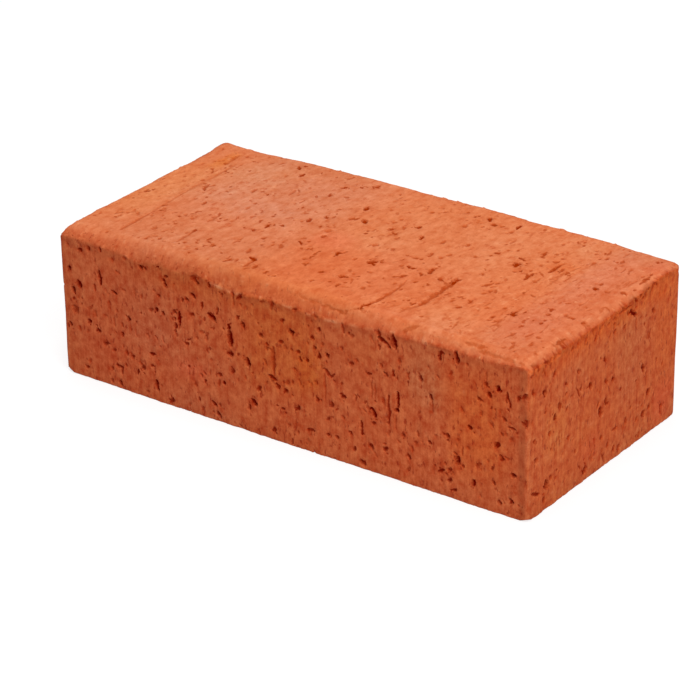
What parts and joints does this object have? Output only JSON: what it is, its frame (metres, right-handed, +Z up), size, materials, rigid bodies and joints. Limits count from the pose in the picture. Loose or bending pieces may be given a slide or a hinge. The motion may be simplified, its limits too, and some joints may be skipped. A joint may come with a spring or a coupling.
{
  "type": "clay brick",
  "caption": "Solid fired-clay facing brick with wire-cut beds, rounded arrises and drag gouges on its faces.",
  "frame": {"origin": "middle of the underside, on the surface the brick lies on", "axes": "+X along the length, +Y across the width, away from the stretcher face that the picture shows, +Z up through the height"},
  "size_m": [0.24, 0.115, 0.071],
  "materials": {
    "fired_clay": "unglazed, matt and gritty"
  },
  "bodies": {
    "root": {"brick": "fired_clay"}
  },
  "joints": []
}
